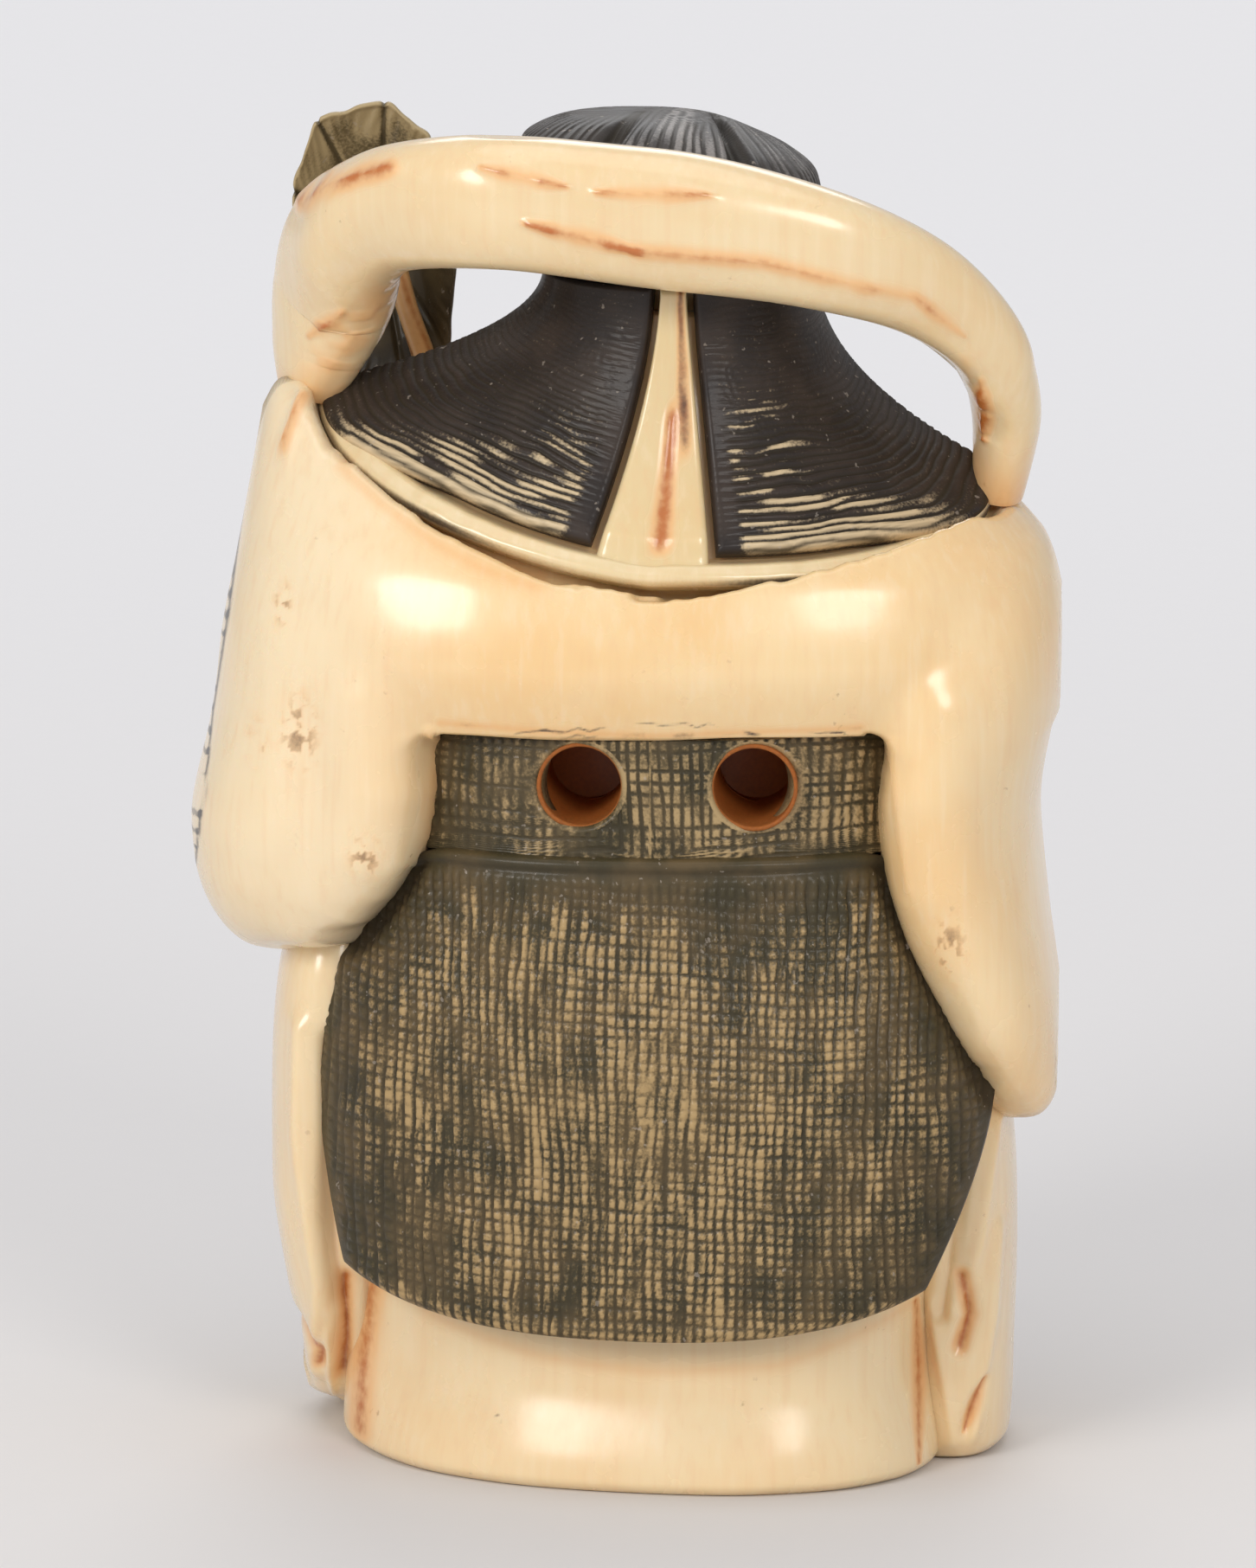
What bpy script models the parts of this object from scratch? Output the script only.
"""A carved netsuke: a robed figure with long parted hair, a scarf behind the head and a leaf in one hand.

Metres, +Z up. The origin is the middle of the flat underside. The figure's back faces -Y and its face +Y,
so +X is on the right for someone who looks at the back. Each carved element is a closed solid of its own,
bedded on its neighbours with a fine joint line between them.
"""

import math
from collections import namedtuple

import bmesh
import bpy
from mathutils import Vector

MM = 0.001

# Joint lines between the carved pieces, and the fineness of their facets
JOINT = 0.3 * MM
REACH = 30.0 * MM
RING_POINTS = 32
SLEEVE_POINTS = 24
STEPS = 2

# Under-robe: the oval trunk, flared to the hem, that everything else is bedded on
HEM_MIDDLE = -0.7 * MM
HEM_HALF_WIDTH = 11.8 * MM
HEM_SWAY = 0.14
HEM_BACK = 10.0 * MM
HEM_FRONT = 9.8 * MM
HEM_ROUNDING = 0.5 * MM
THIGH_HEIGHT = 15.0 * MM
THIGH_HALF_WIDTH = 12.2 * MM
THIGH_BACK = 9.4 * MM
THIGH_FRONT = 9.2 * MM
WAIST_HEIGHT = 24.6 * MM
WAIST_HALF_WIDTH = 9.8 * MM
WAIST_BACK = 7.7 * MM
WAIST_FRONT = 7.6 * MM
CHEST_RISE = 6.4 * MM
CHEST_HALF_WIDTH = 9.4 * MM
CHEST_BACK = 7.4 * MM
CHEST_FRONT = 7.0 * MM
TRUNK_TOP_RISE = 4.0 * MM
TRUNK_TOP_SHARE = 0.7
OVAL_POWER = 2.4

# Cord channel: two bored mouths in the back that meet in a U inside the trunk
CORD_RISE = 2.9 * MM
CORD_MIDDLE = 0.65 * MM
CORD_SPACING = 6.6 * MM
CORD_RADIUS = 1.55 * MM
CORD_DEPTH = 4.2 * MM

# Dark plates laid on the trunk: the skirt before and behind, the waistband with its knot
SKIRT_FOOT = 6.4 * MM
SKIRT_FOOT_RISE = 1.6 * MM
SKIRT_THICKNESS = 1.5 * MM
SKIRT_HIP_RISE = 3.0 * MM
SKIRT_TOP_WRAP = 76.0
SKIRT_HIP_WRAP = 74.0
SKIRT_FOOT_WRAP = 54.0
SKIRT_FOOT_TURN = -2.0
FRONT_TOP_WRAP = 74.0
FRONT_FOOT_WRAP = 52.0
PLEAT_DEPTH = 0.5 * MM
PLEATS = 4
BAND_THICKNESS = 1.1 * MM
BAND_WRAP = 70.0
BAND_HEIGHT = 4.5 * MM
KNOT_HALF_WIDTH = 2.0 * MM
KNOT_DEPTH = 1.7 * MM

# Jacket: the yoke over the shoulders, open below, with its two hanging sleeves
YOKE_MIDDLE = -0.6 * MM
YOKE_HALF_WIDTH = 16.1 * MM
YOKE_BACK = 9.9 * MM
YOKE_FRONT = 9.0 * MM
YOKE_LOW_RISE = 2.6 * MM
YOKE_HIGH_RISE = 5.4 * MM
LEFT_SHOULDER_INSET = 2.5 * MM
LEFT_SHOULDER_LIFT = 3.6 * MM
RIGHT_SHOULDER_INSET = 3.5 * MM
SHOULDER_RISE = 8.8 * MM
LEFT_SLEEVE_INSET = 2.8 * MM
LEFT_SLEEVE_HALF_WIDTH = 5.3 * MM
LEFT_SLEEVE_FOOT = 19.2 * MM
LEFT_SLEEVE_TUCK = 2.4 * MM
RIGHT_SLEEVE_INSET = 3.9 * MM
RIGHT_SLEEVE_HALF_WIDTH = 3.4 * MM
RIGHT_SLEEVE_FOOT = 13.2 * MM
RIGHT_SLEEVE_TUCK = 2.6 * MM
SLEEVE_BACK = 7.9 * MM
SLEEVE_FRONT = 9.2 * MM

# Hair: a crown on the head, and below it a fall that flares like a bell over the shoulders
HEAD_X = 0.7 * MM
NAPE_RISE = 8.0 * MM
NAPE_RADIUS = 5.3 * MM
FALL_BACK = 9.0 * MM
FALL_FRONT = 7.2 * MM
FALL_DROP = 10.6 * MM
FALL_LEFT = 13.4 * MM
FALL_LEFT_LIFT = 6.0 * MM
FALL_RIGHT = 13.2 * MM
FALL_RIGHT_LIFT = 2.9 * MM
FALL_FLARE = 2.1
FALL_BEARING = 118.0
LOCK_THICKNESS = 0.7 * MM
LOCK_END = 0.93
COLLAR_THICKNESS = 0.8 * MM
RIBBON_HALF_WIDTH = 2.3 * MM
RIBBON_TOP_SHARE = 0.3
CROWN_RISE = 6.0 * MM
CROWN_X = 0.2 * MM
CROWN_HALF_WIDTH = 5.9 * MM
CROWN_BACK = 6.5 * MM
CROWN_FRONT = 5.8 * MM
HAIRLINE_RISE = 3.4 * MM

# Head: an oval face on a neck whose tenon is let into the jacket
FACE_Y = 1.5 * MM
FACE_HALF_WIDTH = 4.5 * MM
FACE_FRONT = 5.2 * MM
SKULL_BACK = 4.6 * MM
CHIN_DROP = 4.6 * MM
NECK_RADIUS = 2.9 * MM
TENON_RADIUS = 2.1 * MM
TENON_LENGTH = 2.6 * MM
NECK_LENGTH = 6.0 * MM
NOSE_LENGTH = 2.6 * MM
NOSE_PROUD = 0.9 * MM

# Scarf: a loop that stands behind the head, its ends let into the shoulders
SCARF_BACK = 7.6 * MM
SCARF_RISE = 3.6 * MM
SCARF_HALF_BREADTH = 2.5 * MM
SCARF_HALF_THICKNESS = 1.7 * MM

# Scarf tails: the drapes that hang to the ground at each side
DRAPE_HALF_WIDTH = 2.6 * MM
DRAPE_HALF_DEPTH = 5.4 * MM
DRAPE_TUCK = 2.2 * MM
LEFT_DRAPE_OUTSET = 0.6 * MM
LEFT_DRAPE_FOOT_OUTSET = 1.0 * MM
LEFT_DRAPE_LIFT = 0.6 * MM
RIGHT_DRAPE_INSET = 0.6 * MM
RIGHT_DRAPE_FOOT_INSET = 0.2 * MM

# Leaf and stem held up at the left shoulder
LEAF_X = -11.6 * MM
LEAF_Y = 5.4 * MM
LEAF_RISE = 15.2 * MM
LEAF_HALF_WIDTH = 2.95 * MM
LEAF_HALF_HEIGHT = 5.8 * MM
LEAF_TILT = 8.0
LEAF_BOWL = 2.2 * MM
LEAF_THICKNESS = 0.8 * MM
LEAF_LOBES = 9
LEAF_LOBE_DEPTH = 0.04
STEM_RADIUS = 0.5 * MM
STEM_TAIL = 4.4 * MM

# Hands, lapels and feet of the front
HAND_HALF_WIDTH = 1.9 * MM
HAND_HALF_DEPTH = 1.5 * MM
HAND_LENGTH = 4.6 * MM
LEFT_HAND_X = -9.0 * MM
LEFT_HAND_Y = 9.6 * MM
LEFT_HAND_RISE = 1.0 * MM
RIGHT_HAND_X = 10.0 * MM
RIGHT_HAND_Y = 9.4 * MM
RIGHT_HAND_DROP = 1.8 * MM
LAPEL_WIDTH = 2.0 * MM
LAPEL_THICKNESS = 0.6 * MM
LAPEL_RISE = 0.4 * MM
LAPEL_SPREAD = 3.8 * MM
LAPEL_CROSSING = 1.0
FOOT_X = 3.6 * MM
FOOT_HALF_WIDTH = 1.9 * MM
FOOT_LENGTH = 2.2 * MM
FOOT_HEIGHT = 2.3 * MM

# Heights and places that follow from the sizes above
CHEST_HEIGHT = WAIST_HEIGHT + CHEST_RISE
TRUNK_TOP = CHEST_HEIGHT + TRUNK_TOP_RISE
BAND_TOP = WAIST_HEIGHT + BAND_HEIGHT
CORD_HEIGHT = WAIST_HEIGHT + CORD_RISE
SKIRT_HIP_HEIGHT = THIGH_HEIGHT + SKIRT_HIP_RISE
YOKE_FOOT = BAND_TOP + JOINT
RIGHT_SHOULDER_TOP = YOKE_FOOT + SHOULDER_RISE
LEFT_SHOULDER_TOP = RIGHT_SHOULDER_TOP + LEFT_SHOULDER_LIFT
LEFT_SLEEVE_LENGTH = RIGHT_SHOULDER_TOP - LEFT_SLEEVE_TUCK - LEFT_SLEEVE_FOOT
RIGHT_SLEEVE_LENGTH = RIGHT_SHOULDER_TOP - RIGHT_SLEEVE_TUCK - RIGHT_SLEEVE_FOOT
LAPEL_TOP = RIGHT_SHOULDER_TOP + LAPEL_RISE
NAPE_HEIGHT = RIGHT_SHOULDER_TOP + NAPE_RISE
FALL_FOOT = NAPE_HEIGHT - FALL_DROP
FALL_LEFT_TIP = FALL_FOOT + FALL_LEFT_LIFT
FALL_RIGHT_TIP = FALL_FOOT + FALL_RIGHT_LIFT
CHIN_HEIGHT = NAPE_HEIGHT - CHIN_DROP
HAIRLINE_HEIGHT = NAPE_HEIGHT + HAIRLINE_RISE
CROWN_TOP = NAPE_HEIGHT + CROWN_RISE
SCARF_CREST = NAPE_HEIGHT + SCARF_RISE
LEFT_HAND_HEIGHT = YOKE_FOOT + LEFT_HAND_RISE
RIGHT_HAND_HEIGHT = YOKE_FOOT - RIGHT_HAND_DROP
LEAF_HEIGHT = LEFT_HAND_HEIGHT + LEAF_RISE
STEM_FOOT = LEFT_HAND_HEIGHT - STEM_TAIL
LEFT_SHOULDER_X = LEFT_SHOULDER_INSET - YOKE_HALF_WIDTH
RIGHT_SHOULDER_X = YOKE_HALF_WIDTH - RIGHT_SHOULDER_INSET
LEFT_SLEEVE_X = LEFT_SLEEVE_INSET - YOKE_HALF_WIDTH
RIGHT_SLEEVE_X = YOKE_HALF_WIDTH - RIGHT_SLEEVE_INSET
LEFT_HAND = Vector((LEFT_HAND_X, LEFT_HAND_Y, LEFT_HAND_HEIGHT))
RIGHT_HAND = Vector((RIGHT_HAND_X, RIGHT_HAND_Y, RIGHT_HAND_HEIGHT))

Level = namedtuple("Level", "height x y half_width back front sway", defaults=(0.0,))


def clear_scene():
    for thing in list(bpy.data.objects):
        bpy.data.objects.remove(thing)


def finish_of(name, colour, roughness):
    """A plain surface finish in the piece's own colour."""
    skin = bpy.data.materials.new(name)
    skin.use_nodes = True
    shader = skin.node_tree.nodes["Principled BSDF"]
    shader.inputs["Base Color"].default_value = (*colour, 1.0)
    shader.inputs["Roughness"].default_value = roughness
    return skin


def place(name, mesh, skin):
    """Links a mesh as a piece, or as a hidden cutting tool when it has no skin."""
    piece = bpy.data.objects.new(name, mesh)
    bpy.context.scene.collection.objects.link(piece)
    mesh.shade_smooth()
    mesh.set_sharp_from_angle(angle=math.radians(40))
    if skin is None:
        piece.hide_render = True
        piece.display_type = "WIRE"
    else:
        mesh.materials.append(skin)
    return piece


def skinned(name, rings, skin):
    """A closed body through rings of equally many points, with a flat face on each end."""
    shape = bmesh.new()
    rows = [[shape.verts.new(point) for point in row] for row in rings]
    for low, high in zip(rows, rows[1:]):
        for k, corner in enumerate(low):
            after = (k + 1) % len(low)
            shape.faces.new((corner, low[after], high[after], high[k]))
    shape.faces.new(list(reversed(rows[0])))
    shape.faces.new(rows[-1])
    bmesh.ops.recalc_face_normals(shape, faces=shape.faces)
    mesh = bpy.data.meshes.new(name)
    shape.to_mesh(mesh)
    shape.free()
    return place(name, mesh, skin)


def sheet(name, grid, thickness, skin):
    """A plate: an open grid of points given its thickness by Solidify, on the side its normals show."""
    shape = bmesh.new()
    rows = [[shape.verts.new(point) for point in row] for row in grid]
    for low, high in zip(rows, rows[1:]):
        for k in range(len(low) - 1):
            shape.faces.new((low[k], low[k + 1], high[k + 1], high[k]))
    mesh = bpy.data.meshes.new(name)
    shape.to_mesh(mesh)
    shape.free()
    plate = place(name, mesh, skin)
    solid = plate.modifiers.new("thickness", "SOLIDIFY")
    solid.thickness = thickness
    solid.offset = 1.0
    return plate


def slab(name, inner, outer, skin):
    """A closed plate between two grids of equally many points, with a strip along each edge."""
    shape = bmesh.new()
    under = [[shape.verts.new(point) for point in row] for row in inner]
    over = [[shape.verts.new(point) for point in row] for row in outer]
    for grid in (under, over):
        for low, high in zip(grid, grid[1:]):
            for k in range(len(low) - 1):
                shape.faces.new((low[k], low[k + 1], high[k + 1], high[k]))
    for low, high in ((under[0], over[0]), (under[-1], over[-1])):
        for k in range(len(low) - 1):
            shape.faces.new((low[k], low[k + 1], high[k + 1], high[k]))
    for side in (0, -1):
        for j in range(len(under) - 1):
            shape.faces.new((under[j][side], under[j + 1][side], over[j + 1][side], over[j][side]))
    bmesh.ops.recalc_face_normals(shape, faces=shape.faces)
    mesh = bpy.data.meshes.new(name)
    shape.to_mesh(mesh)
    shape.free()
    return place(name, mesh, skin)


def combine(piece, operation, tools):
    """One exact Boolean step with all the tools at once."""
    group = bpy.data.collections.new(operation.lower() + " for " + piece.name)
    for tool in tools:
        group.objects.link(tool)
    step = piece.modifiers.new(operation.lower(), "BOOLEAN")
    step.solver = "EXACT"
    step.operation = operation
    step.operand_type = "COLLECTION"
    step.collection = group


def cut(piece, *tools):
    combine(piece, "DIFFERENCE", tools)


def join(piece, *tools):
    combine(piece, "UNION", tools)


def eased(stations, steps):
    """Rows between the given ones, on a curve through them that never overshoots."""
    rows = [list(station) for station in stations]
    last = len(rows) - 1

    def slope(k, field):
        if k in (0, last):
            return 0.0
        before = rows[k][field] - rows[k - 1][field]
        after = rows[k + 1][field] - rows[k][field]
        return 0.0 if before * after <= 0 else 2 * before * after / (before + after)

    filled = []
    for k in range(last):
        for step in range(steps):
            t = step / steps
            row = []
            for field in range(len(rows[0])):
                start, end = rows[k][field], rows[k + 1][field]
                rise = slope(k, field) * (t**3 - 2 * t**2 + t) + slope(k + 1, field) * (t**3 - t**2)
                row.append(start + (end - start) * (3 * t**2 - 2 * t**3) + rise)
            filled.append(row)
    filled.append(rows[last])
    return filled


def signed_power(value, power):
    return math.copysign(abs(value) ** power, value)


def oval(level, grow=0.0, count=RING_POINTS):
    """A level ring: a squarish oval with a back and a front depth, its left end swayed forward."""
    points = []
    for k in range(count):
        turn = 2 * math.pi * k / count
        across = signed_power(math.cos(turn), 2 / OVAL_POWER)
        deep = signed_power(math.sin(turn), 2 / OVAL_POWER)
        depth = (level.front if deep > 0 else level.back) + grow
        x = level.x + (level.half_width + grow) * across
        y = level.y + depth * deep - level.sway * (x - level.x)
        points.append(Vector((x, y, level.height)))
    return points


def stacked(name, levels, skin, grow=0.0, steps=STEPS, count=RING_POINTS):
    """A body of stacked ovals. With grow it is that much larger all round, for cutting its bed."""
    rows = [Level(*row) for row in eased(levels, steps)]
    rings = [oval(row, grow, count) for row in rows]
    for point in rings[0]:
        point.z -= grow
    for point in rings[-1]:
        point.z += grow
    return skinned(name, rings, skin)


def trunk_levels():
    neck, low, sway = TRUNK_TOP_SHARE, HEM_MIDDLE, HEM_SWAY
    wide, back, front, edge = HEM_HALF_WIDTH, HEM_BACK, HEM_FRONT, HEM_ROUNDING
    return [
        Level(0, low, 0, wide - edge, back - edge, front - edge, sway),
        Level(edge, low, 0, wide, back, front, sway),
        Level(SKIRT_FOOT, 0.8 * low, 0, wide, back, front, sway),
        Level(THIGH_HEIGHT, 0, 0, THIGH_HALF_WIDTH, THIGH_BACK, THIGH_FRONT, 0.5 * sway),
        Level(WAIST_HEIGHT, 0, 0, WAIST_HALF_WIDTH, WAIST_BACK, WAIST_FRONT),
        Level(CHEST_HEIGHT, 0, 0, CHEST_HALF_WIDTH, CHEST_BACK, CHEST_FRONT),
        Level(TRUNK_TOP, 0, 0, CHEST_HALF_WIDTH * neck, CHEST_BACK * neck, CHEST_FRONT * neck),
    ]


def level_at(levels, height):
    """The oval of a stack at any height, read between its eased rows."""
    rows = [Level(*row) for row in eased(levels, 8)]
    for low, high in zip(rows, rows[1:]):
        if height <= high.height:
            share = max(0.0, (height - low.height) / max(high.height - low.height, 1e-9))
            return Level(*(a + (b - a) * share for a, b in zip(low, high)))
    return rows[-1]


def depth_at(level, x, front, grow):
    """How far before or behind the axis an oval's edge lies at a given x."""
    share = min(0.999, abs(x - level.x) / (level.half_width + grow))
    depth = (level.front if front else level.back) + grow
    return depth * (1 - share**OVAL_POWER) ** (1 / OVAL_POWER)


def wrapped(levels, bearing, height, front, grow):
    """The point on a stack of ovals at a bearing from straight behind or before, standing off by grow."""
    level = level_at(levels, height)
    turn = math.radians(bearing)
    aside = signed_power(math.sin(turn), 2 / OVAL_POWER)
    depth = ((level.front if front else level.back) + grow) * signed_power(math.cos(turn), 2 / OVAL_POWER)
    x = level.x + (level.half_width + grow) * aside
    y = level.y + (depth if front else -depth) - level.sway * (x - level.x)
    return Vector((x, y, height))


def laid(levels, x, height, front, grow):
    """The point at (x, height) on the back or front of a stack of ovals, standing off by grow."""
    level = level_at(levels, height)
    depth = depth_at(level, x, front, grow)
    y = level.y + (depth if front else -depth) - level.sway * (x - level.x)
    return Vector((x, y, height))


def under_robe(skin):
    """The trunk with its flat foot and the U of the cord channel."""
    trunk = stacked("under_robe", trunk_levels(), skin)
    bend = CORD_SPACING / 2
    mouth = -(WAIST_BACK + REACH / 2)
    deep = -(WAIST_BACK - CORD_DEPTH)
    line = [(-bend, mouth), (-bend, (mouth + deep) / 2), (-bend, deep)]
    for k in range(1, 8):
        turn = math.pi * k / 8
        line.append((-bend * math.cos(turn), deep + bend * math.sin(turn)))
    line += [(bend, deep), (bend, (mouth + deep) / 2), (bend, mouth)]
    rings = []
    for k, (x, y) in enumerate(line):
        before = line[max(0, k - 1)]
        after = line[min(len(line) - 1, k + 1)]
        along = Vector((after[0] - before[0], after[1] - before[1], 0)).normalized()
        side = along.cross(Vector((0, 0, 1)))
        centre = Vector((CORD_MIDDLE + x, y, CORD_HEIGHT))
        turns = [2 * math.pi * j / 16 for j in range(16)]
        rings.append(
            [centre + CORD_RADIUS * (side * math.cos(a) + Vector((0, 0, math.sin(a)))) for a in turns]
        )
    channel = skinned("tool_cord_channel", rings, None)
    cut(trunk, channel)
    return trunk, channel


def skirt_wrap(height, foot):
    """How far round the trunk the back panel reaches at a height, in degrees each way."""
    if height > SKIRT_HIP_HEIGHT:
        share = (height - SKIRT_HIP_HEIGHT) / (WAIST_HEIGHT - SKIRT_HIP_HEIGHT)
        return SKIRT_HIP_WRAP + (SKIRT_TOP_WRAP - SKIRT_HIP_WRAP) * share
    share = (SKIRT_HIP_HEIGHT - height) / (SKIRT_HIP_HEIGHT - foot)
    return SKIRT_HIP_WRAP + (SKIRT_FOOT_WRAP - SKIRT_HIP_WRAP) * share**1.5


def skirt_back(name, skin, grow=0.0):
    """The back panel: a curved plate with a bowed foot, wider at the hip than at the foot."""
    columns, rows = 18, 10
    top = WAIST_HEIGHT - JOINT + grow
    spare = math.degrees(grow / THIGH_BACK)
    grids = []
    for proud in (JOINT - grow, JOINT + SKIRT_THICKNESS + grow):
        grid = []
        for j in range(rows + 1):
            row = []
            for k in range(columns + 1):
                across = 2 * k / columns - 1
                foot = SKIRT_FOOT + SKIRT_FOOT_RISE * across**2
                height = foot - grow + (top - foot + grow) * j / rows
                low = max(0.0, (SKIRT_HIP_HEIGHT - height) / (SKIRT_HIP_HEIGHT - foot))
                bearing = across * (skirt_wrap(max(height, foot), foot) + spare) + SKIRT_FOOT_TURN * low
                row.append(wrapped(trunk_levels(), bearing, height, False, proud))
            grid.append(row)
        grids.append(grid)
    return slab(name, *grids, skin)


def skirt_front(name, skin, grow=0.0):
    """The front panel: flat behind, its face in soft upright pleats that deepen towards the foot."""
    columns, rows = 6 * PLEATS, 5
    top = WAIST_HEIGHT - JOINT + grow
    foot = SKIRT_FOOT - grow
    spare = math.degrees(grow / THIGH_FRONT)
    grids = []
    for proud, depth in ((JOINT - grow, 0.0), (JOINT + SKIRT_THICKNESS + grow, PLEAT_DEPTH)):
        grid = []
        for j in range(rows + 1):
            height = foot + (top - foot) * j / rows
            reach = FRONT_FOOT_WRAP + (FRONT_TOP_WRAP - FRONT_FOOT_WRAP) * j / rows + spare
            row = []
            for k in range(columns + 1):
                across = 1 - 2 * k / columns
                fold = depth * (1 - math.cos(2 * math.pi * PLEATS * k / columns)) / 2
                stand = proud + fold * (1 - 0.6 * j / rows)
                row.append(wrapped(trunk_levels(), across * reach, height, True, stand))
            grid.append(row)
        grids.append(grid)
    return slab(name, *grids, skin)


def band(name, front, skin):
    """Half of the waistband, behind or before the trunk."""
    columns, rows = 18, 3
    foot = WAIST_HEIGHT
    grids = []
    for proud in (JOINT, JOINT + BAND_THICKNESS):
        grid = []
        for j in range(rows + 1):
            height = foot + (BAND_TOP - foot) * j / rows
            row = []
            for k in range(columns + 1):
                across = 2 * k / columns - 1
                bearing = BAND_WRAP * (-across if front else across)
                row.append(wrapped(trunk_levels(), bearing, height, front, proud))
            grid.append(row)
        grids.append(grid)
    return slab(name, *grids, skin)


def sash_knot(skin):
    """The tied knot in the middle of the sash: a rounded block with a waist."""
    middle = (WAIST_HEIGHT + BAND_TOP) / 2
    face = laid(trunk_levels(), 0, middle, True, 2 * JOINT + BAND_THICKNESS).y
    half = (BAND_TOP - WAIST_HEIGHT) / 2
    levels = []
    for share, width in ((-1, 0.45), (-0.8, 0.9), (-0.35, 1.0), (0, 0.8), (0.35, 1.0), (0.8, 0.9), (1, 0.45)):
        height = middle + share * half
        levels.append(Level(height, 0, face, KNOT_HALF_WIDTH * width, 0.1 * MM, KNOT_DEPTH * width))
    return stacked("sash_knot", levels, skin, steps=1, count=20)


def yoke_levels():
    """The shoulders: broad at the blades, the left one lifted, hollowed later under the hair."""
    middle, wide, back, front = YOKE_MIDDLE, YOKE_HALF_WIDTH, YOKE_BACK, YOKE_FRONT
    left_end = middle - 0.932 * wide
    low, high, lift = RIGHT_SHOULDER_TOP, LEFT_SHOULDER_TOP, LEFT_SHOULDER_LIFT
    neck = high - 0.33 * lift
    return [
        Level(YOKE_FOOT, middle, 0, 0.97 * wide, 0.91 * back, 0.95 * front),
        Level(YOKE_FOOT + YOKE_LOW_RISE, middle, 0, wide, back, front),
        Level(YOKE_FOOT + YOKE_HIGH_RISE, middle, 0, 0.98 * wide, 0.94 * back, 0.95 * front),
        Level(low - 0.28 * lift, middle - 0.031 * wide, 0, 0.925 * wide, 0.8 * back, 0.84 * front),
        Level(low + 0.14 * lift, left_end + 0.845 * wide, 0, 0.851 * wide, 0.69 * back, 0.75 * front),
        Level(neck, left_end + 0.547 * wide, 0.02 * back, 0.534 * wide, 0.5 * back, 0.57 * front),
        Level(high, left_end + 0.373 * wide, 0.03 * back, 0.323 * wide, 0.32 * back, 0.4 * front),
    ]


def hung_levels(table, foot_x, top_x, foot, length, wide, back, front):
    """Levels from shares: height of the length; place aside, half width of the half width; depths."""
    levels = []
    for rise, aside, shift, half, behind, before in table:
        middle = foot_x + (top_x - foot_x) * rise + aside * wide
        levels.append(
            Level(foot + rise * length, middle, shift * back, half * wide, behind * back, before * front)
        )
    return levels


def left_sleeve_levels():
    """The left sleeve: a full rounded bag under the lifted arm."""
    table = (
        (0.0, -0.189, 0, 0.113, 0.12, 0.3),
        (0.042, -0.17, 0, 0.396, 0.46, 0.6),
        (0.12, -0.113, 0, 0.66, 0.76, 0.86),
        (0.253, 0.0, 0, 0.906, 0.95, 1.0),
        (0.398, 0.094, 0, 1.0, 1.0, 1.0),
        (0.627, 0.208, 0, 0.943, 0.96, 0.97),
        (0.807, 0.245, 0, 0.849, 0.84, 0.86),
        (1.0, 0.34, 0, 0.736, 0.56, 0.6),
    )
    foot, length, wide = LEFT_SLEEVE_FOOT, LEFT_SLEEVE_LENGTH, LEFT_SLEEVE_HALF_WIDTH
    x = LEFT_SLEEVE_X
    return hung_levels(table, x, x, foot, length, wide, SLEEVE_BACK, SLEEVE_FRONT)


def right_sleeve_levels():
    """The right sleeve: longer and slimmer, with a drop at its foot."""
    table = (
        (0.0, 0.529, -0.152, 0.118, 0.1, 0.16),
        (0.027, 0.529, -0.139, 0.294, 0.36, 0.4),
        (0.089, 0.471, -0.101, 0.471, 0.7, 0.66),
        (0.205, 0.324, -0.063, 0.647, 0.9, 0.86),
        (0.384, -0.059, -0.025, 0.882, 1.0, 0.96),
        (0.554, -0.265, 0, 1.0, 1.0, 1.0),
        (0.732, -0.059, 0, 0.971, 0.97, 0.97),
        (0.866, 0.029, 0, 0.882, 0.84, 0.86),
        (1.0, -0.176, 0, 0.824, 0.58, 0.62),
    )
    foot, length, wide = RIGHT_SLEEVE_FOOT, RIGHT_SLEEVE_LENGTH, RIGHT_SLEEVE_HALF_WIDTH
    x = RIGHT_SLEEVE_X
    return hung_levels(table, x, x, foot, length, wide, SLEEVE_BACK, SLEEVE_FRONT)


def fall_point(bearing, share):
    """The hair's outer face: bearing in degrees from straight behind, right positive; share 0 nape, 1 rim."""
    turn = math.radians(bearing)
    aside, behind = math.sin(turn), math.cos(turn)
    rim_side = FALL_RIGHT if aside > 0 else FALL_LEFT
    tip = FALL_RIGHT_TIP if aside > 0 else FALL_LEFT_TIP
    bow = 1.8 if aside > 0 else 0.7
    lift = (1 - max(0.0, behind)) ** bow
    rim_depth = FALL_BACK if behind > 0 else FALL_FRONT
    flare = share**FALL_FLARE
    x = HEAD_X * (1 - flare) + aside * (NAPE_RADIUS + (rim_side - NAPE_RADIUS) * flare)
    y = -behind * (NAPE_RADIUS + (rim_depth - NAPE_RADIUS) * flare)
    rim_height = FALL_FOOT + (tip - FALL_FOOT) * lift + min(0.0, behind) * 2.0 * MM
    return Vector((x, y, NAPE_HEIGHT + (rim_height - NAPE_HEIGHT) * share))


def fall_inset(bearing, share, inset):
    """A point that far inside the hair's outer face, square to it."""
    low, high = max(0.0, share - 0.02), min(1.0, share + 0.02)
    down = fall_point(bearing, high) - fall_point(bearing, low)
    round_ = fall_point(bearing + 2, share) - fall_point(bearing - 2, share)
    outward = round_.cross(down).normalized()
    if outward.z < 0:
        outward = -outward
    return fall_point(bearing, share) - outward * inset


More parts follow.
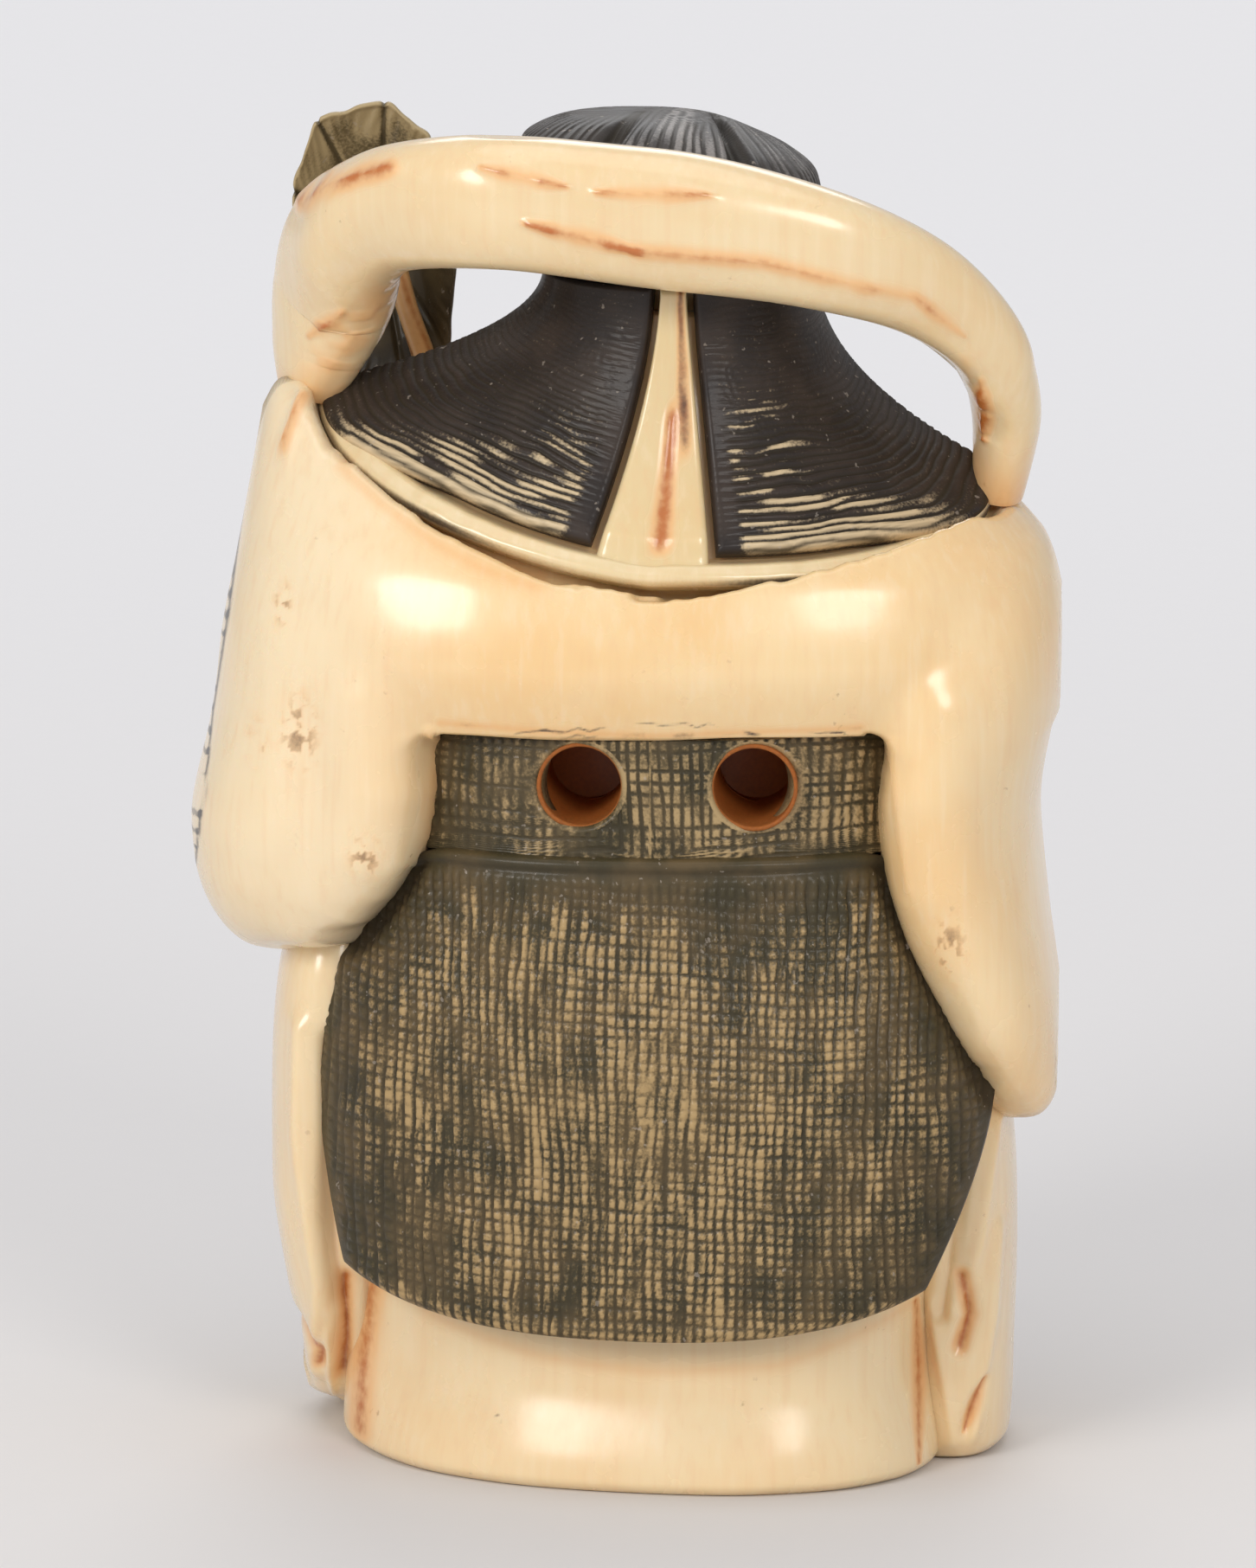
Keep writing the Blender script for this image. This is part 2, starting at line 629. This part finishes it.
def ribbon_bearing(share, margin):
    """Half angle of the nape ribbon: narrow at the top, wide at the rim."""
    width = RIBBON_HALF_WIDTH * (RIBBON_TOP_SHARE + (1 - RIBBON_TOP_SHARE) * share) + margin
    radius = NAPE_RADIUS + (FALL_BACK - NAPE_RADIUS) * share**FALL_FLARE
    return math.degrees(math.asin(min(0.9, width / radius)))


def fall_grid(first, last, top, foot, inset, columns, rows):
    """Points over part of the fall, from its right edge (first) to its left (last), at a depth inset."""
    grid = []
    for j in range(rows + 1):
        share = top + (foot - top) * j / rows
        start, end = first(share), last(share)
        bearings = [start + (end - start) * k / columns for k in range(columns + 1)]
        grid.append([fall_inset(bearing, share, inset(share)) for bearing in bearings])
    return grid


def collar(skin):
    """The cream collar under the locks, turned up to a rim below their ends."""
    bed = LOCK_THICKNESS + JOINT + COLLAR_THICKNESS
    rim = 0.25 * MM + COLLAR_THICKNESS

    def inset(share):
        rise = min(1.0, max(0.0, (share - LOCK_END) / (1 - LOCK_END) * 2.0))
        return bed + (rim - bed) * rise

    grid = fall_grid(lambda share: FALL_BEARING, lambda share: -FALL_BEARING, 0.1, 1.0, inset, 20, 8)
    return sheet("collar", grid, COLLAR_THICKNESS, skin)


def lock(name, side, skin):
    """One dark lock: from the ribbon's edge round over the shoulder to the front."""
    def parting(share):
        return side * ribbon_bearing(share, JOINT)

    def temple(share):
        return side * FALL_BEARING

    first, last = (temple, parting) if side > 0 else (parting, temple)
    grid = fall_grid(first, last, 0.0, LOCK_END - 0.02, lambda share: LOCK_THICKNESS, 12, 8)
    return sheet(name, grid, LOCK_THICKNESS, skin)


def nape_ribbon(skin):
    """The cream ribbon between the locks."""
    grid = fall_grid(
        lambda share: ribbon_bearing(share, 0),
        lambda share: -ribbon_bearing(share, 0),
        0.0,
        LOCK_END - 0.02,
        lambda share: LOCK_THICKNESS,
        4,
        8,
    )
    return sheet("nape_ribbon", grid, LOCK_THICKNESS, skin)


def shoulder_tool():
    """All the space above the collar's underside, for hollowing the jacket beneath it."""
    depth = LOCK_THICKNESS + 2 * JOINT + COLLAR_THICKNESS
    bearings = [360 * k / 36 for k in range(36)]
    rings = []
    for share in (0.0, 0.25, 0.45, 0.6, 0.75, 0.87, 0.95, 1.0):
        ring = []
        for bearing in bearings:
            wrapped = bearing if bearing <= 180 else bearing - 360
            ring.append(fall_inset(wrapped, share, depth))
        rings.append(ring)
    rim = [fall_point(b if b <= 180 else b - 360, 1.0) for b in bearings]
    wall = [Vector((p.x, p.y, q.z)) for p, q in zip(rim, rings[-1])]
    lid = [Vector((p.x, p.y, REACH * 2)) for p in rim]
    return skinned("tool_shoulders", [*rings, wall, lid], None)


def head_levels(grow=0.0):
    neck_foot = NAPE_HEIGHT - NECK_LENGTH
    tenon_foot = neck_foot - TENON_LENGTH
    wide, front, back = FACE_HALF_WIDTH, FACE_FRONT, SKULL_BACK
    height = CROWN_TOP - 0.9 * MM - CHIN_HEIGHT

    def level(share, width, behind, before):
        at = CHIN_HEIGHT + share * height
        return Level(at, HEAD_X, FACE_Y, wide * width, back * behind, front * before)

    return [
        Level(tenon_foot, HEAD_X, 0, TENON_RADIUS, TENON_RADIUS, TENON_RADIUS),
        Level(neck_foot - 0.05 * MM - grow, HEAD_X, 0, TENON_RADIUS, TENON_RADIUS, TENON_RADIUS),
        Level(neck_foot - grow, HEAD_X, 0.2 * MM, NECK_RADIUS, NECK_RADIUS, NECK_RADIUS),
        level(-0.05, 0.64, 0.7, 0.52),
        level(0.02, 0.7, 0.74, 0.82),
        level(0.12, 0.82, 0.8, 0.96),
        level(0.32, 0.96, 0.94, 1.0),
        level(0.55, 1.0, 1.0, 1.0),
        level(0.75, 0.93, 0.97, 0.93),
        level(0.9, 0.68, 0.72, 0.68),
        level(0.98, 0.34, 0.36, 0.34),
        level(1.0, 0.1, 0.1, 0.1),
    ]


def head(skin):
    """Neck, oval face and tenon, with a simple nose."""
    piece = stacked("head", head_levels(), skin, steps=1, count=24)
    face = FACE_Y + FACE_FRONT
    bridge = CHIN_HEIGHT + 0.56 * (CROWN_TOP - CHIN_HEIGHT)
    rings = []
    for share, width, proud in ((0, 0.35, 0.1), (0.5, 0.5, 0.5), (0.9, 1.0, 1.0), (1.0, 0.8, 0.6)):
        z = bridge - share * NOSE_LENGTH
        half = 0.75 * MM * width
        rings.append(
            [
                Vector((HEAD_X - half, face - 0.9 * MM, z)),
                Vector((HEAD_X + half, face - 0.9 * MM, z)),
                Vector((HEAD_X + 0.5 * half, face + NOSE_PROUD * proud, z)),
                Vector((HEAD_X - 0.5 * half, face + NOSE_PROUD * proud, z)),
            ]
        )
    join(piece, skinned("tool_nose", rings, None))
    return piece


def crown_levels():
    foot = NAPE_HEIGHT + JOINT
    wide, back, front = CROWN_HALF_WIDTH, CROWN_BACK, CROWN_FRONT
    rise = CROWN_TOP - foot

    def level(share, size):
        return Level(
            foot + rise * share, CROWN_X, 0.7 * MM, wide * size, back * size, front * size
        )

    return [
        level(0, 0.95),
        level(0.3, 1.02),
        level(0.55, 0.99),
        level(0.72, 0.88),
        level(0.86, 0.68),
        level(0.96, 0.38),
        level(1.0, 0.08),
    ]


def face_window():
    """The opening of the hair round the face: widest at the cheeks, arched to the hairline."""
    low = NAPE_HEIGHT - REACH / 3
    brow = NAPE_HEIGHT + 0.65 * (HAIRLINE_HEIGHT - NAPE_HEIGHT)
    rings = []
    for height, share in ((low, 0.8), (NAPE_HEIGHT, 0.867), (brow, 0.778), (HAIRLINE_HEIGHT, 0.356)):
        half = share * FACE_HALF_WIDTH
        ring = []
        for x, y in ((-half, 0), (half, 0), (half, 1), (-half, 1)):
            ring.append(Vector((HEAD_X + x, FACE_Y + 0.27 * FACE_FRONT + y * REACH, height)))
        rings.append(ring)
    return skinned("tool_face_window", rings, None)


def scarf_stations():
    """Centre, half breadth across the band, half thickness and twist, from the left end to the right."""
    broad, thick, back, crest = SCARF_HALF_BREADTH, SCARF_HALF_THICKNESS, SCARF_BACK, SCARF_CREST
    left, right = LEFT_SHOULDER_X, RIGHT_SHOULDER_X + 0.4 * MM
    left_top, right_top = LEFT_SHOULDER_TOP, RIGHT_SHOULDER_TOP
    return [
        (left - 0.1 * MM, 0.6 * MM, left_top - 0.8 * MM, 0.42 * broad, 1.0 * thick, 20),
        (left + 0.2 * MM, 0.6 * MM, left_top + 0.8 * MM, 0.56 * broad, 1.4 * thick, 28),
        (left + 0.8 * MM, 0.2 * MM, left_top + 3.0 * MM, 0.76 * broad, 1.6 * thick, 34),
        (left + 1.5 * MM, -1.6 * MM, crest - 2.6 * MM, 0.86 * broad, 1.5 * thick, 30),
        (left + 3.8 * MM, -4.6 * MM, crest - 0.7 * MM, 0.94 * broad, 1.1 * thick, 12),
        (left + 8.0 * MM, -back + 0.4 * MM, crest - 0.1 * MM, broad, thick, 0),
        (0, -back, crest - 0.6 * MM, 1.04 * broad, thick, 0),
        (right - 7.0 * MM, -back + 0.4 * MM, crest - 1.7 * MM, 0.9 * broad, thick, 0),
        (right - 2.8 * MM, -5.2 * MM, crest - 3.5 * MM, 0.74 * broad, 1.1 * thick, -8),
        (right - 0.2 * MM, -2.6 * MM, crest - 6.6 * MM, 0.55 * broad, 1.3 * thick, -14),
        (right + 0.3 * MM, -0.8 * MM, right_top + 2.4 * MM, 0.48 * broad, 1.3 * thick, -10),
        (right, 0.0, right_top - 0.6 * MM, 0.4 * broad, 1.0 * thick, 0),
    ]


def scarf_rings(grow, count=16):
    """Rings square to the scarf's run, their flat side turned to the back."""
    rows = eased(scarf_stations(), 2)
    centres = [Vector(row[:3]) for row in rows]
    rings = []
    for k, (centre, row) in enumerate(zip(centres, rows)):
        along = (centres[min(k + 1, len(rows) - 1)] - centres[max(k - 1, 0)]).normalized()
        back = Vector((0, -1, 0))
        deep = (back - along * back.dot(along)).normalized()
        broad = along.cross(deep)
        turn = math.radians(row[5])
        deep, broad = (
            deep * math.cos(turn) + broad * math.sin(turn),
            broad * math.cos(turn) - deep * math.sin(turn),
        )
        ring = []
        for j in range(count):
            angle = 2 * math.pi * j / count
            across = signed_power(math.cos(angle), 0.85) * (row[3] + grow)
            proud = signed_power(math.sin(angle), 0.85) * (row[4] + grow)
            ring.append(centre + broad * across + deep * proud)
        rings.append(ring)
    return rings


def left_drape_levels():
    """The left tail of cloth: full at the knee, pinched above the ground, just clear of it."""
    table = (
        (0.0, 0.19, 0.815, 0.55, 0.45, 0.5),
        (0.03, 0.19, 0.704, 0.72, 0.64, 0.66),
        (0.13, 0.19, 0.519, 0.78, 0.9, 0.86),
        (0.27, 0.115, 0.333, 0.92, 1.0, 0.95),
        (0.48, 0.0, 0.222, 1.0, 1.02, 1.0),
        (0.7, 0.0, 0.148, 0.98, 1.0, 1.0),
        (0.88, 0.04, 0.148, 0.9, 0.94, 0.94),
        (1.0, 0.154, 0.148, 0.65, 0.8, 0.8),
    )
    foot_x = -(HEM_HALF_WIDTH + LEFT_DRAPE_FOOT_OUTSET)
    top_x = -(THIGH_HALF_WIDTH + LEFT_DRAPE_OUTSET)
    length = LEFT_SLEEVE_FOOT + DRAPE_TUCK - LEFT_DRAPE_LIFT
    wide, deep = DRAPE_HALF_WIDTH, DRAPE_HALF_DEPTH
    return hung_levels(table, foot_x, top_x, LEFT_DRAPE_LIFT, length, wide, deep, deep)


def right_drape_levels():
    """The right tail, shorter and standing flat on the ground."""
    table = (
        (0.0, -0.077, 0.037, 0.74, 0.72, 0.8),
        (0.04, 0.0, 0.037, 0.84, 0.8, 0.88),
        (0.2, 0.077, 0.037, 0.82, 0.88, 0.94),
        (0.42, 0.077, 0.0, 0.86, 0.95, 1.0),
        (0.68, 0.038, -0.056, 0.9, 0.97, 1.0),
        (0.86, 0.0, -0.056, 0.86, 0.92, 0.94),
        (1.0, -0.077, -0.056, 0.6, 0.76, 0.8),
    )
    foot_x = HEM_HALF_WIDTH - RIGHT_DRAPE_FOOT_INSET
    top_x = THIGH_HALF_WIDTH - RIGHT_DRAPE_INSET
    length = RIGHT_SLEEVE_FOOT + DRAPE_TUCK
    wide, deep = DRAPE_HALF_WIDTH, DRAPE_HALF_DEPTH
    return hung_levels(table, foot_x, top_x, 0.0, length, wide, deep, deep)


def leaf(skin):
    """A cupped leaf with a lobed, curled rim, hollow towards the back."""
    spokes, rounds = 3 * LEAF_LOBES, 5
    tilt = math.radians(LEAF_TILT)
    shape = bmesh.new()
    centre = shape.verts.new(Vector((LEAF_X, LEAF_Y + LEAF_BOWL, LEAF_HEIGHT)))
    rows = []
    for j in range(1, rounds + 1):
        reach = j / rounds
        row = []
        for k in range(spokes):
            turn = 2 * math.pi * k / spokes
            lobe = 1 + LEAF_LOBE_DEPTH * math.cos(LEAF_LOBES * turn) * reach**3
            across = LEAF_HALF_WIDTH * reach * lobe * math.cos(turn)
            along = LEAF_HALF_HEIGHT * reach * lobe * math.sin(turn)
            x = LEAF_X + across * math.cos(tilt) - along * math.sin(tilt)
            z = LEAF_HEIGHT + along * math.cos(tilt) + across * math.sin(tilt)
            y = LEAF_Y + LEAF_BOWL * (1 - reach**2.5)
            row.append(shape.verts.new(Vector((x, y, z))))
        rows.append(row)
    for k in range(spokes):
        shape.faces.new((centre, rows[0][(k + 1) % spokes], rows[0][k]))
    for low, high in zip(rows, rows[1:]):
        for k in range(spokes):
            after = (k + 1) % spokes
            shape.faces.new((low[k], low[after], high[after], high[k]))
    mesh = bpy.data.meshes.new("leaf")
    shape.to_mesh(mesh)
    shape.free()
    blade = place("leaf", mesh, skin)
    solid = blade.modifiers.new("thickness", "SOLIDIFY")
    solid.thickness = LEAF_THICKNESS
    solid.offset = 1.0
    return blade


def stem_rings(grow, count=10):
    """The stem, from the hollow of the leaf forward and down through the left hand."""
    hollow = LEAF_Y + 0.35 * LEAF_BOWL
    under = LEAF_HEIGHT - LEAF_HALF_HEIGHT
    stations = [
        (LEAF_X + 0.6 * MM, hollow, LEAF_HEIGHT + 1.4 * MM, 0.6),
        (LEAF_X + 1.2 * MM, hollow, LEAF_HEIGHT - 1.6 * MM, 0.9),
        (LEAF_X + 2.2 * MM, hollow + 0.2 * MM, under + 0.8 * MM, 1.0),
        (LEAF_X + 2.5 * MM, (hollow + LEFT_HAND.y) / 2, under - 3.2 * MM, 1.0),
        (LEFT_HAND.x, LEFT_HAND.y, LEFT_HAND.z + 2.2 * MM, 1.0),
        (LEFT_HAND.x, LEFT_HAND.y + 0.3 * MM, LEFT_HAND.z, 1.0),
        (LEFT_HAND.x + 0.2 * MM, LEFT_HAND.y + 0.5 * MM, STEM_FOOT, 0.8),
    ]
    rings = []
    for row in eased(stations, 2):
        radius = STEM_RADIUS * row[3] + grow
        ring = []
        for k in range(count):
            turn = 2 * math.pi * k / count
            ring.append(Vector((row[0] + radius * math.cos(turn), row[1] + radius * math.sin(turn), row[2])))
        rings.append(ring)
    for point in rings[0]:
        point.z += grow
    for point in rings[-1]:
        point.z -= grow
    return rings


def hand(name, at, skin, grow=0.0):
    """A closed hand: a rounded mitt, its heel let into the sleeve."""
    wide, deep, long = HAND_HALF_WIDTH, HAND_HALF_DEPTH, HAND_LENGTH
    levels = []
    for share, width in ((-0.5, 0.4), (-0.4, 0.8), (-0.1, 1.0), (0.2, 0.95), (0.42, 0.7), (0.5, 0.35)):
        size = deep * width
        levels.append(Level(at.z + share * long, at.x, at.y, wide * width, 1.3 * size, size))
    return stacked(name, levels, skin, grow, steps=1, count=20)


def lapel(name, side, skin, grow=0.0):
    """A band from one side of the neck down across the breast, over the other at the sash."""
    rows = 8
    grid = []
    levels = yoke_levels()
    foot = YOKE_FOOT + JOINT
    for j in range(rows + 1):
        share = j / rows
        height = LAPEL_TOP + grow + (foot - LAPEL_TOP - 2 * grow) * share
        middle = HEAD_X * (1 - share) + side * LAPEL_SPREAD * (1 - LAPEL_CROSSING * share)
        row = []
        for k in range(5):
            x = middle + (LAPEL_WIDTH + 2 * grow) * (k / 4 - 0.5)
            row.append(laid(levels, x, height, True, JOINT - grow))
        grid.append(row)
    return sheet(name, grid, LAPEL_THICKNESS + 2 * grow, skin)


def foot(name, x, skin):
    """The toe of a slipper that shows below the hem."""
    levels = []
    for share, size in ((0, 0.92), (0.12, 1.0), (0.5, 0.96), (0.8, 0.74), (1.0, 0.3)):
        front = HEM_FRONT + FOOT_LENGTH * (0.6 + 0.4 * size)
        levels.append(Level(share * FOOT_HEIGHT, x, 0, FOOT_HALF_WIDTH * size, 0.1 * MM, front))
    return stacked(name, levels, skin, steps=1, count=24)


def build():
    clear_scene()
    ivory = finish_of("ivory", (0.86, 0.72, 0.5), 0.22)
    pale = finish_of("pale_ivory", (0.84, 0.78, 0.58), 0.25)
    inked = finish_of("inked_ivory", (0.2, 0.17, 0.11), 0.4)
    black = finish_of("blackened_ivory", (0.06, 0.05, 0.05), 0.35)
    olive = finish_of("olive_ivory", (0.36, 0.3, 0.16), 0.4)
    rust = finish_of("rust_ivory", (0.42, 0.16, 0.05), 0.4)

    trunk_tool = stacked("tool_trunk", trunk_levels(), None, grow=JOINT)
    left_tool = stacked("tool_left_sleeve", left_sleeve_levels(), None, JOINT, count=SLEEVE_POINTS)
    right_tool = stacked("tool_right_sleeve", right_sleeve_levels(), None, JOINT, count=SLEEVE_POINTS)
    head_tool = stacked("tool_head", head_levels(JOINT), None, grow=JOINT, steps=1, count=24)
    shoulders = shoulder_tool()
    scarf_tool = skinned("tool_scarf", scarf_rings(JOINT), None)
    stem_tool = skinned("tool_stem", stem_rings(JOINT), None)
    left_hand_tool = hand("tool_hand_left", LEFT_HAND, None, JOINT)
    right_hand_tool = hand("tool_hand_right", RIGHT_HAND, None, JOINT)
    panel_tool = skirt_back("tool_skirt_back", None, JOINT)
    apron_tool = skirt_front("tool_skirt_front", None, JOINT)
    lapel_tool = lapel("tool_lapel", 1, None, JOINT)

    trunk, channel = under_robe(ivory)

    jacket = stacked("jacket", yoke_levels(), ivory)
    join(
        jacket,
        stacked("tool_left_sleeve_body", left_sleeve_levels(), None, count=SLEEVE_POINTS),
        stacked("tool_right_sleeve_body", right_sleeve_levels(), None, count=SLEEVE_POINTS),
    )
    cut(jacket, trunk_tool, shoulders, head_tool, scarf_tool, stem_tool, left_hand_tool, right_hand_tool)

    panel = skirt_back("skirt_back", inked)
    apron = skirt_front("skirt_front", inked)
    waist = band("waist_board", False, inked)
    sash = band("sash", True, inked)
    knot = sash_knot(inked)
    for plate in (panel, apron, waist, sash, knot):
        cut(plate, left_tool, right_tool)
    cut(waist, channel)

    left_drape = stacked("drape_left", left_drape_levels(), ivory, steps=1, count=SLEEVE_POINTS)
    cut(left_drape, trunk_tool, left_tool, panel_tool, apron_tool)
    right_drape = stacked("drape_right", right_drape_levels(), ivory, steps=1, count=SLEEVE_POINTS)
    cut(right_drape, trunk_tool, right_tool, panel_tool, apron_tool)

    collar_piece = collar(pale)
    locks = [lock("hair_left", -1, black), lock("hair_right", 1, black)]
    for piece in (collar_piece, *locks):
        cut(piece, head_tool, scarf_tool, stem_tool)
    nape_ribbon(pale)

    head(ivory)
    crown = stacked("hair_crown", crown_levels(), black, steps=1, count=28)
    cut(crown, head_tool, face_window())

    skinned("scarf", scarf_rings(0.0), ivory)
    leaf_piece = leaf(olive)
    cut(leaf_piece, stem_tool)
    skinned("leaf_stem", stem_rings(0.0), rust)
    left_hand = hand("hand_left", LEFT_HAND, ivory)
    cut(left_hand, stem_tool)
    hand("hand_right", RIGHT_HAND, ivory)
    under_lapel = lapel("lapel_left", -1, pale)
    cut(under_lapel, lapel_tool)
    lapel("lapel_right", 1, pale)
    for name, x in (("foot_left", -FOOT_X), ("foot_right", FOOT_X)):
        toe = foot(name, x, ivory)
        cut(toe, trunk_tool)


build()
